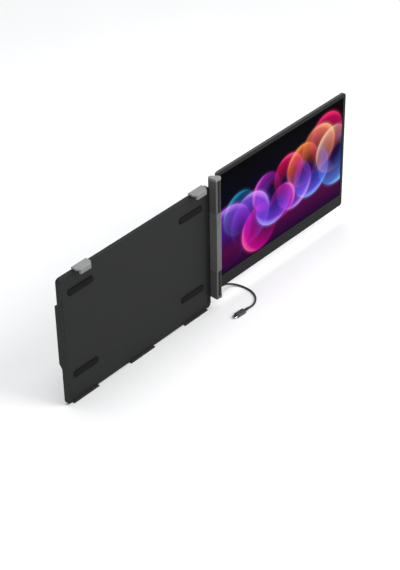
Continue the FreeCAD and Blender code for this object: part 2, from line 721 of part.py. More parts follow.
def build_cord():
    """The cord on the desk, with the elbow plug at the bracket and the straight plug at its free end."""
    cord = tube_along(cord_route, cord_radius)
    pieces["cord"] = cord
    x0, x1 = elbow_x - elbow_length / 2, elbow_x + elbow_length / 2
    body = box(x0, x1, bracket_back, bracket_back + elbow_depth,
               elbow_height - elbow_width / 2, elbow_height + elbow_width / 2)
    back_edges = [e for e in body.Edges if min(v.Y for v in e.Vertexes) > bracket_back + edge_sense]
    body = body.makeFillet(elbow_edge_round, back_edges)
    tongue_half = plug_tip_width / 2 - plug_tip_wall
    tongue_rise = tip_tongue_thickness / 2
    tip = box(elbow_x - tongue_half, elbow_x + tongue_half, bracket_back - elbow_tip_length,
              bracket_back, elbow_height - tongue_rise, elbow_height + tongue_rise)
    add("elbow_plug", body.fuse(tip))
    relief = Part.makeCone(relief_root_radius, relief_tip_radius, relief_length,
                           V(x1, bracket_back + elbow_depth / 2, elbow_height), V(1, 0, 0))
    add("elbow_relief", relief)
    length = plug_length
    plug = box(-length, 0, -plug_width / 2, plug_width / 2, 0, plug_thickness)
    long_edges = [e for e in plug.Edges if abs(e.Vertexes[0].X - e.Vertexes[1].X) > length / 2]
    plug = plug.makeFillet(plug_edge_round, long_edges)
    tip = box(-length - plug_tip_length, -length, -plug_tip_width / 2, plug_tip_width / 2,
              plug_z - plug_tip_height / 2, plug_z + plug_tip_height / 2)
    long_edges = [e for e in tip.Edges if abs(e.Vertexes[0].X - e.Vertexes[1].X) > plug_tip_length / 2]
    tip = tip.makeFillet(plug_tip_round, long_edges)
    tip = tip.cut(box(-length - plug_tip_length - cut_margin, -length - plug_tip_wall, -tongue_half, tongue_half,
                      plug_z - tongue_rise, plug_z + tongue_rise))
    cone = Part.makeCone(relief_root_radius, relief_tip_radius, relief_length, V(0, 0, plug_z), V(1, 0, 0))
    for name, shape in (("plug_body", plug), ("plug_shell", tip), ("plug_relief", cone)):
        shape.rotate(V(0, 0, 0), V(0, 0, 1), plug_turn)
        shape.translate(V(plug_x, plug_y, 0))
        add(name, shape)


def lean(shape):
    """The shape leaned back about the X axis."""
    turned = shape.copy()
    turned.rotate(V(0, 0, 0), V(1, 0, 0), -lean_angle)
    return turned


def above_desk(shape):
    """The shape without what would be under the desk's surface."""
    b = shape.BoundBox
    desk = box(b.XMin - cut_margin, b.XMax + cut_margin, b.YMin - cut_margin, b.YMax + cut_margin,
               b.ZMin - cut_margin, 0)
    solids = [s for solid in shape.Solids for s in solid.cut(desk).Solids]
    return Part.makeCompound(solids) if len(solids) > 1 else solids[0]


build_bracket()
for clip_side in ("left", "right"):
    build_clip(clip_side)
build_carriage()
build_monitor()
build_kickstand()
leaned = {name: lean(shape) for name, shape in pieces.items()}
for name in ("bottom_feet", "kickstand_foot"):
    leaned[name] = above_desk(leaned[name])
build_cord()
flat_names = ("cord", "plug_body", "plug_shell", "plug_relief")
cord_names = flat_names + ("elbow_plug", "elbow_relief")
for name in flat_names:
    leaned[name] = pieces[name]
for name in ("elbow_plug", "elbow_relief"):
    leaned[name] = lean(pieces[name])

os.makedirs("parts", exist_ok=True)
device = Part.makeCompound([shape for name, shape in leaned.items() if name not in cord_names])
b = device.BoundBox
shift = V(-(b.XMin + b.XMax) / 2, -(b.YMin + b.YMax) / 2, 0)
for name, shape in leaned.items():
    moved = shape.copy()
    moved.translate(shift)
    moved.exportStep("parts/%s.step" % name)
extents = [round(v, 1) for v in (b.XLength, b.YLength, b.ZLength)]
print("pieces", len(leaned), "box", extents, "base", round(b.ZMin, 3))
print("shift", [round(v, 3) for v in shift])
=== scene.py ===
"""Looks of a screen extender: finishes, display picture, cord and small trim around the fixed frame.

All lengths are in metres. +X is the user's right, +Y is away from the user and +Z is up.
"""
import logging
import math
from dataclasses import dataclass, field
from enum import Enum
from typing import Dict, List, Sequence, Tuple

import bmesh
import bpy
from mathutils import Matrix, Vector


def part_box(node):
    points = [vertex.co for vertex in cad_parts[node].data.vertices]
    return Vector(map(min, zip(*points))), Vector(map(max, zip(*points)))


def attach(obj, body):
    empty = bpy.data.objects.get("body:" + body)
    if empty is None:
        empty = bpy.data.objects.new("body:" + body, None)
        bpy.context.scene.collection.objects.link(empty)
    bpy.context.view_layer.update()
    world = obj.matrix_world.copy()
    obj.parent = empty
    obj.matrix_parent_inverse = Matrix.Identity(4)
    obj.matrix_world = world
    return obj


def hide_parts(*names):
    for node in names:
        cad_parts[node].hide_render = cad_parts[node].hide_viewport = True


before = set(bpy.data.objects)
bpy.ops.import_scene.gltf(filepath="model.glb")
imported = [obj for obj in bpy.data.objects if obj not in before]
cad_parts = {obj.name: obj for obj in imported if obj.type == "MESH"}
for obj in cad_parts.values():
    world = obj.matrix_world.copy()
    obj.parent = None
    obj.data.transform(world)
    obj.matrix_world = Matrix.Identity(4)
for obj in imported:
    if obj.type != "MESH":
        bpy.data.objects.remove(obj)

LOG = logging.getLogger("screen_extender")
MM = 0.001
Colour = Tuple[float, float, float]
Point = Tuple[float, float, float]

LEAN = math.radians(1.6)                # how far the whole device leans back
HINGE: Point = (4.4 * MM, -37.299 * MM, 0.0)       # where the upright hinge axis meets the desk
MERGE_DISTANCE = 1e-6
SHARP_ANGLE = math.radians(35)          # edges between faces that meet steeper than this stay sharp


class Surface(Enum):
    """Kinds of surface that a finish can have."""

    MOULDED = "moulded plastic with a fine spark texture"
    RUBBER = "soft rubber, slightly mottled"
    BRUSHED = "metal with lines along one axis"
    ANODISED = "blasted and anodised aluminium"
    PLATED = "bright plated metal"
    BOARD = "circuit board with solder mask and tracks"
    FILM = "thin flexible film"


@dataclass(frozen=True)
class Finish:
    """One finish: its colour, its gloss and the scale of its texture."""

    name: str
    surface: Surface
    colour: Colour
    roughness: float
    metallic: float = 0.0
    grain: float = 0.6 * MM             # size of the fine texture
    relief: float = 0.02 * MM           # height of the grain
    mottle: float = 0.12                # share by which the colour goes up and down with the grain
    shine: float = 0.35                 # how strongly the surface mirrors


class Finishes:
    """The finishes of the whole device."""

    SHELL = Finish("bracket_shell", Surface.MOULDED, (0.017, 0.0175, 0.018), 0.62, grain=0.5 * MM,
                   shine=0.12)
    HOUSING = Finish("housing_shell", Surface.MOULDED, (0.016, 0.0165, 0.017), 0.55, grain=0.5 * MM,
                     shine=0.12)
    PAD = Finish("bracket_pad", Surface.RUBBER, (0.008, 0.008, 0.0085), 0.85, grain=0.9 * MM, shine=0.08)
    FOOT = Finish("rubber_foot", Surface.RUBBER, (0.03, 0.03, 0.032), 0.8, grain=0.9 * MM, shine=0.15)
    COLUMN = Finish("column_paint", Surface.ANODISED, (0.085, 0.085, 0.084), 0.5, 0.1, grain=0.35 * MM,
                    shine=0.2)
    BARREL = Finish("barrel_paint", Surface.ANODISED, (0.026, 0.026, 0.025), 0.5, 0.1, grain=0.35 * MM,
                    shine=0.15)
    CAP = Finish("cap_paint", Surface.ANODISED, (0.21, 0.21, 0.208), 0.45, 0.3, grain=0.35 * MM)
    KNUCKLE = Finish("knuckle_paint", Surface.ANODISED, (0.118, 0.125, 0.122), 0.5, 0.1, grain=0.35 * MM,
                     shine=0.2)
    CLIP = Finish("clip_paint", Surface.ANODISED, (0.2, 0.2, 0.202), 0.45, 0.3, grain=0.3 * MM)
    STEEL = Finish("brushed_steel", Surface.BRUSHED, (0.45, 0.45, 0.46), 0.32, 1.0, grain=0.25 * MM)
    PIN = Finish("ground_pin", Surface.PLATED, (0.5, 0.5, 0.51), 0.2, 1.0)
    BLACK_SCREW = Finish("black_screw", Surface.ANODISED, (0.02, 0.02, 0.021), 0.35, 0.8, grain=0.2 * MM)
    INNER = Finish("inner_plastic", Surface.MOULDED, (0.22, 0.22, 0.23), 0.6, grain=0.8 * MM)
    GUIDE_FILM = Finish("light_guide", Surface.FILM, (0.7, 0.7, 0.68), 0.4, grain=1.2 * MM)
    BOARD = Finish("green_board", Surface.BOARD, (0.012, 0.09, 0.04), 0.35, grain=1.6 * MM)
    FLEX = Finish("amber_film", Surface.FILM, (0.28, 0.12, 0.02), 0.3, grain=0.8 * MM)
    PLATED = Finish("plated_shell", Surface.PLATED, (0.62, 0.62, 0.63), 0.18, 1.0)
    MONITOR_BACK = Finish("monitor_back", Surface.ANODISED, (0.05, 0.051, 0.054), 0.4, 0.6, grain=0.3 * MM)
    BEZEL = Finish("monitor_bezel", Surface.MOULDED, (0.0135, 0.014, 0.0135), 0.55, grain=0.35 * MM,
                   shine=0.08)
    BUTTON = Finish("button_cap", Surface.MOULDED, (0.06, 0.06, 0.062), 0.35, grain=0.3 * MM)
    LEG = Finish("kickstand_leg", Surface.ANODISED, (0.06, 0.061, 0.064), 0.42, 0.6, grain=0.3 * MM)
    JACKET = Finish("cord_jacket", Surface.RUBBER, (0.015, 0.015, 0.0155), 0.55, grain=0.5 * MM, shine=0.25)
    GRIP = Finish("plug_grip", Surface.MOULDED, (0.05, 0.05, 0.052), 0.5, grain=0.4 * MM, shine=0.3)
    CONTACT = Finish("gold_contact", Surface.PLATED, (0.75, 0.55, 0.22), 0.25, 1.0)
    MARK = Finish("pale_print", Surface.MOULDED, (0.5, 0.5, 0.5), 0.6, grain=0.3 * MM)


class MaterialShop:
    """Makes node materials from finishes, one material for each finish."""

    FINE_OCTAVES = 3.0
    BROAD_CELLS = 14.0                  # of the broad noise, in one metre
    BROAD_OCTAVES = 4.0
    BROAD_ROUGHNESS = 0.6
    NOISE_SPAN = (0.3, 0.7)             # between which nearly all of a noise lies
    BRUSH_STRETCH: Point = (0.02, 1, 1)     # of the grain, so that it runs along X
    VEIL_DARK: Colour = (0.9, 0.9, 0.9)
    VEIL_LIGHT: Colour = (1.08, 1.08, 1.08)
    TRACK_COLOUR: Colour = (0.05, 0.2, 0.09)
    TRACK_SHADE = 0.7                   # of every other field between the tracks
    TRACK_GRAINS = 4                    # grains from one track to the next
    ROUGHNESS_DOWN = 0.05
    ROUGHNESS_UP = 0.06
    GRAIN_STRENGTH = 0.35

    def __init__(self) -> None:
        """Starts with no materials."""
        self.made: Dict[str, bpy.types.Material] = {}

    @staticmethod
    def blank(name: str) -> Tuple[bpy.types.Material, bpy.types.NodeTree, bpy.types.Node]:
        """Makes an empty node material.

        Args:
            name: The material's name.

        Returns:
            The material, its node tree and its shader.
        """
        material = bpy.data.materials.new(name)
        material.use_nodes = True
        tree = material.node_tree
        return material, tree, tree.nodes["Principled BSDF"]

    @staticmethod
    def object_coordinates(tree: bpy.types.NodeTree, scale: Point = (1, 1, 1)) -> bpy.types.NodeSocket:
        """Adds scaled object coordinates.

        Args:
            tree: The tree that they go into.
            scale: How much each axis is multiplied.

        Returns:
            The vector socket.
        """
        where = tree.nodes.new("ShaderNodeTexCoord")
        mapping = tree.nodes.new("ShaderNodeMapping")
        mapping.inputs["Scale"].default_value = scale
        tree.links.new(where.outputs["Object"], mapping.inputs["Vector"])
        return mapping.outputs["Vector"]

    @staticmethod
    def noise(tree: bpy.types.NodeTree, vector: bpy.types.NodeSocket, scale: float, detail: float,
              roughness: float = 0.5) -> bpy.types.NodeSocket:
        """Adds a noise texture.

        Args:
            tree: The tree that it goes into.
            vector: The coordinates that it reads.
            scale: Cells in one metre.
            detail: Octaves of finer noise.
            roughness: How strong the finer octaves are.

        Returns:
            The factor socket.
        """
        texture = tree.nodes.new("ShaderNodeTexNoise")
        texture.inputs["Scale"].default_value = scale
        texture.inputs["Detail"].default_value = detail
        texture.inputs["Roughness"].default_value = roughness
        tree.links.new(vector, texture.inputs["Vector"])
        return texture.outputs["Fac"]

    @staticmethod
    def ramp(tree: bpy.types.NodeTree, factor: bpy.types.NodeSocket,
             stops: Sequence[Tuple[float, Colour]]) -> bpy.types.NodeSocket:
        """Adds a colour ramp.

        Args:
            tree: The tree that it goes into.
            factor: The value that it reads.
            stops: Places and colours, in order.

        Returns:
            The colour socket.
        """
        node = tree.nodes.new("ShaderNodeValToRGB")
        elements = node.color_ramp.elements
        while len(elements) < len(stops):
            elements.new(0.5)
        for element, (place, colour) in zip(elements, stops):
            element.position = place
            element.color = (*colour, 1.0)
        tree.links.new(factor, node.inputs["Fac"])
        return node.outputs["Color"]

    def make(self, finish: Finish) -> bpy.types.Material:
        """Gives the material of a finish, made when first asked for.

        Args:
            finish: The finish.

        Returns:
            Its material.
        """
        if finish.name in self.made:
            return self.made[finish.name]
        material, tree, shader = self.blank(finish.name)
        shader.inputs["Metallic"].default_value = finish.metallic
        shader.inputs["Specular IOR Level"].default_value = finish.shine
        stretch = self.BRUSH_STRETCH if finish.surface is Surface.BRUSHED else (1, 1, 1)
        fine = self.noise(tree, self.object_coordinates(tree, stretch), 1 / finish.grain, self.FINE_OCTAVES)
        broad = self.noise(tree, self.object_coordinates(tree), self.BROAD_CELLS, self.BROAD_OCTAVES,
                           self.BROAD_ROUGHNESS)
        self.add_colour(tree, shader, finish, fine, broad)
        self.add_gloss(tree, shader, finish, broad)
        self.add_relief(tree, shader, finish, fine)
        self.made[finish.name] = material
        return material

    def add_colour(self, tree: bpy.types.NodeTree, shader: bpy.types.Node, finish: Finish,
                   fine: bpy.types.NodeSocket, broad: bpy.types.NodeSocket) -> None:
        """Colours a finish, a little uneven on two scales.

        Args:
            tree: The material's tree.
            shader: Its shader.
            finish: The finish.
            fine: Noise as small as the grain.
            broad: Noise as large as a hand.
        """
        low = tuple(c * (1 - finish.mottle) for c in finish.colour)
        high = tuple(c * (1 + finish.mottle) for c in finish.colour)
        start, end = self.NOISE_SPAN
        if finish.surface is Surface.BOARD:
            colour = self.board_colour(tree, finish)
        else:
            colour = self.ramp(tree, fine, [(start, low), (end, high)])
        veil = self.ramp(tree, broad, [(start, self.VEIL_DARK), (end, self.VEIL_LIGHT)])
        mix = tree.nodes.new("ShaderNodeMix")
        mix.data_type = "RGBA"
        mix.blend_type = "MULTIPLY"
        mix.inputs["Factor"].default_value = 1.0
        tree.links.new(colour, mix.inputs["A"])
        tree.links.new(veil, mix.inputs["B"])
        tree.links.new(mix.outputs["Result"], shader.inputs["Base Color"])

    def board_colour(self, tree: bpy.types.NodeTree, finish: Finish) -> bpy.types.NodeSocket:
        """Draws pale tracks on the solder mask of a board.

        Args:
            tree: The material's tree.
            finish: The board's finish.

        Returns:
            The colour socket.
        """
        bricks = tree.nodes.new("ShaderNodeTexBrick")
        bricks.inputs["Color1"].default_value = (*finish.colour, 1)
        bricks.inputs["Color2"].default_value = (*[c * self.TRACK_SHADE for c in finish.colour], 1)
        bricks.inputs["Mortar"].default_value = (*self.TRACK_COLOUR, 1)
        bricks.inputs["Scale"].default_value = 1 / (finish.grain * self.TRACK_GRAINS)
        turn = tree.nodes.new("ShaderNodeMapping")
        turn.inputs["Rotation"].default_value = (math.pi / 2, 0, 0)
        tree.links.new(self.object_coordinates(tree), turn.inputs["Vector"])
        tree.links.new(turn.outputs["Vector"], bricks.inputs["Vector"])
        return bricks.outputs["Color"]

    def add_gloss(self, tree: bpy.types.NodeTree, shader: bpy.types.Node, finish: Finish,
                  broad: bpy.types.NodeSocket) -> None:
        """Varies the roughness a little, as handling does.

        Args:
            tree: The material's tree.
            shader: Its shader.
            finish: The finish.
            broad: Noise as large as a hand.
        """
        spread = tree.nodes.new("ShaderNodeMapRange")
        spread.inputs["From Min"].default_value, spread.inputs["From Max"].default_value = self.NOISE_SPAN
        spread.inputs["To Min"].default_value = max(0.05, finish.roughness - self.ROUGHNESS_DOWN)
        spread.inputs["To Max"].default_value = min(1.0, finish.roughness + self.ROUGHNESS_UP)
        tree.links.new(broad, spread.inputs["Value"])
        tree.links.new(spread.outputs["Result"], shader.inputs["Roughness"])

    def add_relief(self, tree: bpy.types.NodeTree, shader: bpy.types.Node, finish: Finish,
                   fine: bpy.types.NodeSocket) -> None:
        """Raises the grain.

        Args:
            tree: The material's tree.
            shader: Its shader.
            finish: The finish.
            fine: Noise as small as the grain.
        """
        bump = tree.nodes.new("ShaderNodeBump")
        bump.inputs["Strength"].default_value = self.GRAIN_STRENGTH
        bump.inputs["Distance"].default_value = finish.relief
        tree.links.new(fine, bump.inputs["Height"])
        tree.links.new(bump.outputs["Normal"], shader.inputs["Normal"])


@dataclass(frozen=True)
class Disc:
    """One glowing disc of the display's picture, in half heights of the display from its centre."""

    x: float
    z: float
    radius: float
    lit: float                          # degrees from +X towards +Z of the side that glows
    rim: Colour
    body: Colour
    glow: float = 1.0


@dataclass
class DisplayPicture:
    """The picture on the display: glowing discs, each lit from one side, that overlap over a dark ground."""

    node: str = "display_panel"
    border: float = 0.012               # share of the half height that stays black round the picture
    strength: float = 1.0
    offset: float = 0.55                # how far a disc's dark side lies from its centre, in radii
    dark_until: float = 0.25            # along the way from the dark side to the lit rim
    dim_at: float = 0.62
    dim_share: float = 0.5              # of the body's colour
    body_at: float = 0.84
    halo: float = 1.1                   # how far a disc's faint halo reaches, in radii
    disc_until: float = 0.875           # along the way from the centre to the halo's end
    halo_from: float = 0.915
    halo_colour: Colour = (0.12, 0.12, 0.12)
    panel_colour: Colour = (0.001, 0.001, 0.0012)
    panel_shine: float = 0.004
    panel_roughness: Tuple[float, float] = (0.28, 0.4)
    panel_cells: float = 4000.0         # of the panel's fine haze, in one metre
    discs: List[Disc] = field(default_factory=lambda: [
        Disc(-1.42, -0.30, 0.60, 95, (0.55, 0.16, 1.0), (0.12, 0.01, 0.34)),
        Disc(-1.12, 0.02, 0.42, 120, (0.03, 0.34, 0.60), (0.002, 0.06, 0.16), 0.9),
        Disc(-0.86, -0.22, 0.50, 60, (0.62, 0.30, 1.0), (0.13, 0.03, 0.50)),
        Disc(-0.62, -0.52, 0.46, 205, (1.0, 0.10, 0.30), (0.46, 0.0, 0.20)),
        Disc(-0.44, 0.10, 0.36, 150, (0.85, 0.12, 0.80), (0.24, 0.01, 0.32), 0.9),
        Disc(-0.24, -0.16, 0.48, 250, (0.36, 0.36, 1.0), (0.05, 0.03, 0.50)),
        Disc(-0.02, -0.30, 0.34, 20, (1.0, 0.20, 0.62), (0.42, 0.01, 0.26), 0.9),
        Disc(0.14, 0.18, 0.38, 75, (1.0, 0.07, 0.22), (0.46, 0.0, 0.07)),
        Disc(0.30, -0.14, 0.46, 300, (0.62, 0.34, 1.0), (0.14, 0.03, 0.46), 0.9),
        Disc(0.52, 0.16, 0.42, 115, (1.0, 0.32, 0.08), (0.50, 0.07, 0.01)),
        Disc(0.76, -0.10, 0.48, 280, (0.22, 0.42, 1.0), (0.03, 0.06, 0.56)),
        Disc(0.94, 0.30, 0.46, 60, (1.0, 0.46, 0.16), (0.50, 0.12, 0.05)),
        Disc(1.16, 0.46, 0.44, 85, (1.0, 0.03, 0.16), (0.44, 0.0, 0.08)),
        Disc(1.34, 0.10, 0.46, 130, (1.0, 0.62, 0.42), (0.36, 0.16, 0.14), 0.9),
        Disc(1.46, -0.16, 0.50, 300, (0.16, 0.58, 1.0), (0.01, 0.14, 0.50)),
    ])

    def build(self, shop: MaterialShop) -> bpy.types.Material:
        """Makes the display's material.

        Args:
            shop: The maker of materials.

        Returns:
            The material.
        """
        material, tree, shader = shop.blank("display_picture")
        low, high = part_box(self.node)
        centre, half = (low + high) / 2, (high.z - low.z) / 2
        where = tree.nodes.new("ShaderNodeTexCoord")
        mapping = tree.nodes.new("ShaderNodeMapping")
        mapping.inputs["Location"].default_value = (-centre.x / half, 0, -centre.z / half)
        mapping.inputs["Scale"].default_value = (1 / half, 0, 1 / half)
        tree.links.new(where.outputs["Object"], mapping.inputs["Vector"])
        vector = mapping.outputs["Vector"]
        split = tree.nodes.new("ShaderNodeSeparateXYZ")
        tree.links.new(vector, split.inputs["Vector"])
        colour = self.ground(shop, tree, split.outputs["Z"])
        for disc in self.discs:
            colour = self.add_disc(shop, tree, vector, colour, disc)
        width = (high.x - low.x) / 2 / half
        colour = self.frame_in(tree, split, colour, width)
        tree.links.new(colour, shader.inputs["Emission Color"])
        shader.inputs["Emission Strength"].default_value = self.strength
        shader.inputs["Base Color"].default_value = (*self.panel_colour, 1)
        shader.inputs["Specular IOR Level"].default_value = self.panel_shine
        haze = shop.noise(tree, shop.object_coordinates(tree), self.panel_cells, 2.0)
        spread = tree.nodes.new("ShaderNodeMapRange")
        spread.inputs["To Min"].default_value, spread.inputs["To Max"].default_value = self.panel_roughness
        tree.links.new(haze, spread.inputs["Value"])
        tree.links.new(spread.outputs["Result"], shader.inputs["Roughness"])
        return material

    @staticmethod
    def ground(shop: MaterialShop, tree: bpy.types.NodeTree,
               height: bpy.types.NodeSocket) -> bpy.types.NodeSocket:
        """Shades the ground from black at the top over a deep blue and a wine red to violet at the bottom.

        Args:
            shop: The maker of materials.
            tree: The material's tree.
            height: The height over the display's centre, in half heights.

        Returns:
            The colour socket.
        """
        spread = tree.nodes.new("ShaderNodeMapRange")
        spread.inputs["From Min"].default_value = -1.0
        tree.links.new(height, spread.inputs["Value"])
        return shop.ramp(tree, spread.outputs["Result"], [
            (0.0, (0.012, 0.0, 0.03)), (0.2, (0.075, 0.001, 0.05)), (0.38, (0.02, 0.002, 0.09)),
            (0.6, (0.001, 0.001, 0.008)), (1.0, (0.0, 0.0, 0.0005))])

    @staticmethod
    def distance(tree: bpy.types.NodeTree, vector: bpy.types.NodeSocket, x: float, z: float,
                 unit: float) -> bpy.types.NodeSocket:
        """Measures how far a place on the display lies from a point.

        Args:
            tree: The material's tree.
            vector: The place on the display.
            x: The point's place along the display.
            z: Its height.
            unit: The length that counts as one.

        Returns:
            The distance socket.
        """
        away = tree.nodes.new("ShaderNodeVectorMath")
        away.operation = "DISTANCE"
        away.inputs[1].default_value = (x, 0, z)
        tree.links.new(vector, away.inputs[0])
        share = tree.nodes.new("ShaderNodeMath")
        share.operation = "DIVIDE"
        share.inputs[1].default_value = unit
        tree.links.new(away.outputs["Value"], share.inputs[0])
        return share.outputs["Value"]

    def add_disc(self, shop: MaterialShop, tree: bpy.types.NodeTree, vector: bpy.types.NodeSocket,
                 under: bpy.types.NodeSocket, disc: Disc) -> bpy.types.NodeSocket:
        """Lays one glowing disc over what is there.

        Args:
            shop: The maker of materials.
            tree: The material's tree.
            vector: The place on the display.
            under: The colour below the disc.
            disc: The disc.

        Returns:
            The colour socket.
        """
        turn = math.radians(disc.lit)
        dark_x = disc.x - self.offset * disc.radius * math.cos(turn)
        dark_z = disc.z - self.offset * disc.radius * math.sin(turn)
        reach = 1.0 + self.offset
        shade = self.distance(tree, vector, dark_x, dark_z, disc.radius * reach)
        dim = tuple(c * self.dim_share for c in disc.body)
        light = shop.ramp(tree, shade, [
            (self.dark_until, (0, 0, 0)), (self.dim_at, dim), (self.body_at, disc.body), (1.0, disc.rim)])
        edge = self.distance(tree, vector, disc.x, disc.z, disc.radius * self.halo)
        cover = shop.ramp(tree, edge, [
            (self.disc_until, (1, 1, 1)), (self.halo_from, self.halo_colour), (1.0, (0, 0, 0))])
        cut = tree.nodes.new("ShaderNodeMix")
        cut.data_type = "RGBA"
        cut.blend_type = "MULTIPLY"
        cut.inputs["Factor"].default_value = 1.0
        tree.links.new(light, cut.inputs["A"])
        tree.links.new(cover, cut.inputs["B"])
        mix = tree.nodes.new("ShaderNodeMix")
        mix.data_type = "RGBA"
        mix.blend_type = "SCREEN"
        mix.inputs["Factor"].default_value = disc.glow
        tree.links.new(under, mix.inputs["A"])
        tree.links.new(cut.outputs["Result"], mix.inputs["B"])
        return mix.outputs["Result"]

    def frame_in(self, tree: bpy.types.NodeTree, split: bpy.types.Node, colour: bpy.types.NodeSocket,
                 width: float) -> bpy.types.NodeSocket:
        """Keeps a thin black border round the picture.

        Args:
            tree: The material's tree.
            split: The node with the place on the display as three numbers.
            colour: The picture.
            width: The display's half width, in half heights.

        Returns:
            The colour socket.
        """
        inside = None
        for axis, limit in (("X", width - self.border), ("Z", 1 - self.border)):
            size = tree.nodes.new("ShaderNodeMath")
            size.operation = "ABSOLUTE"
            tree.links.new(split.outputs[axis], size.inputs[0])
            test = tree.nodes.new("ShaderNodeMath")
            test.operation = "LESS_THAN"
            test.inputs[1].default_value = limit
            tree.links.new(size.outputs["Value"], test.inputs[0])
            if inside is None:
                inside = test.outputs["Value"]
                continue
            both = tree.nodes.new("ShaderNodeMath")
            both.operation = "MULTIPLY"
            tree.links.new(inside, both.inputs[0])
            tree.links.new(test.outputs["Value"], both.inputs[1])
            inside = both.outputs["Value"]
        scale = tree.nodes.new("ShaderNodeVectorMath")
        scale.operation = "SCALE"
        tree.links.new(colour, scale.inputs[0])
        tree.links.new(inside, scale.inputs["Scale"])
        return scale.outputs["Vector"]


@dataclass
class FrameDresser:
    """Gives every piece of the frame its finish."""

    shop: MaterialShop
    finishes: Dict[str, Finish] = field(default_factory=lambda: {
        "front_panel": Finishes.SHELL, "back_cover": Finishes.SHELL, "rear_housing": Finishes.HOUSING,
        "steel_plate": Finishes.STEEL, "cover_screws": Finishes.BLACK_SCREW,
        "housing_screws": Finishes.BLACK_SCREW, "bracket_pads": Finishes.PAD, "clip_guides": Finishes.INNER,
        "carriage_rails": Finishes.INNER, "kickstand_pin": Finishes.PIN, "base_board": Finishes.BOARD,
        "base_socket": Finishes.PLATED, "bottom_feet": Finishes.FOOT, "carriage_tongue": Finishes.STEEL,
        "hinge_backbone": Finishes.COLUMN, "hinge_knuckle": Finishes.KNUCKLE, "column_cap": Finishes.CAP,
        "column_foot": Finishes.COLUMN, "hinge_pin": Finishes.PIN, "friction_washers": Finishes.PIN,
        "barrel_lower": Finishes.BARREL, "barrel_upper": Finishes.BARREL,
        "monitor_back_cover": Finishes.MONITOR_BACK, "monitor_bezel": Finishes.BEZEL,
        "backlight_module": Finishes.GUIDE_FILM, "monitor_board": Finishes.BOARD,
        "monitor_sockets": Finishes.PLATED, "monitor_screws": Finishes.BLACK_SCREW,
        "flex_cable": Finishes.FLEX, "clip_left_hook": Finishes.CLIP, "clip_right_hook": Finishes.CLIP,
        "clip_left_liner": Finishes.PAD, "clip_right_liner": Finishes.PAD, "kickstand_leg": Finishes.LEG,
        "kickstand_foot": Finishes.FOOT, "power_button": Finishes.BUTTON, "plus_button": Finishes.BUTTON,
        "minus_button": Finishes.BUTTON, "elbow_plug": Finishes.GRIP, "plug_body": Finishes.GRIP,
        "plug_shell": Finishes.PLATED,
    })

    @staticmethod
    def dress(node: str, material: bpy.types.Material) -> None:
        """Puts one material on a piece of the frame.

        Args:
            node: The piece's name.
            material: Its material.
        """
        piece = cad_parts[node]
        if not piece.material_slots:
            piece.data.materials.append(material)
        for place in piece.material_slots:
            place.material = material

    def build(self) -> None:
        """Dresses all the pieces."""
        for node, finish in self.finishes.items():
            self.dress(node, self.shop.make(finish))
            LOG.info("dressed %s in %s", node, finish.name)


def from_hinge(place: Sequence[float]) -> Vector:
    """Moves a place from the upright device, with its hinge axis at the origin, to the leaning frame.

    Args:
        place: The place, in metres.

    Returns:
        The place in the frame.
    """
    return Matrix.Rotation(-LEAN, 3, "X") @ Vector(place) + Vector(HINGE)


def new_piece(name: str, mesh: bmesh.types.BMesh, material: bpy.types.Material, body: str) -> bpy.types.Object:
    """Turns a bmesh into a piece that rides on a body.

    Args:
        name: The piece's name.
        mesh: Its shape, in the frame's coordinates.
        material: Its material.
        body: The body that it rides on.

    Returns:
        The piece.
    """
    bmesh.ops.remove_doubles(mesh, verts=mesh.verts, dist=MERGE_DISTANCE)
    bmesh.ops.recalc_face_normals(mesh, faces=mesh.faces)
    data = bpy.data.meshes.new(name)
    mesh.to_mesh(data)
    mesh.free()
    data.materials.append(material)
    for face in data.polygons:
        face.use_smooth = True
    data.set_sharp_from_angle(angle=SHARP_ANGLE)
    piece = bpy.data.objects.new(name, data)
    bpy.context.collection.objects.link(piece)
    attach(piece, body)
    LOG.info("made %s on %s, %d faces", name, body, len(data.polygons))
    return piece


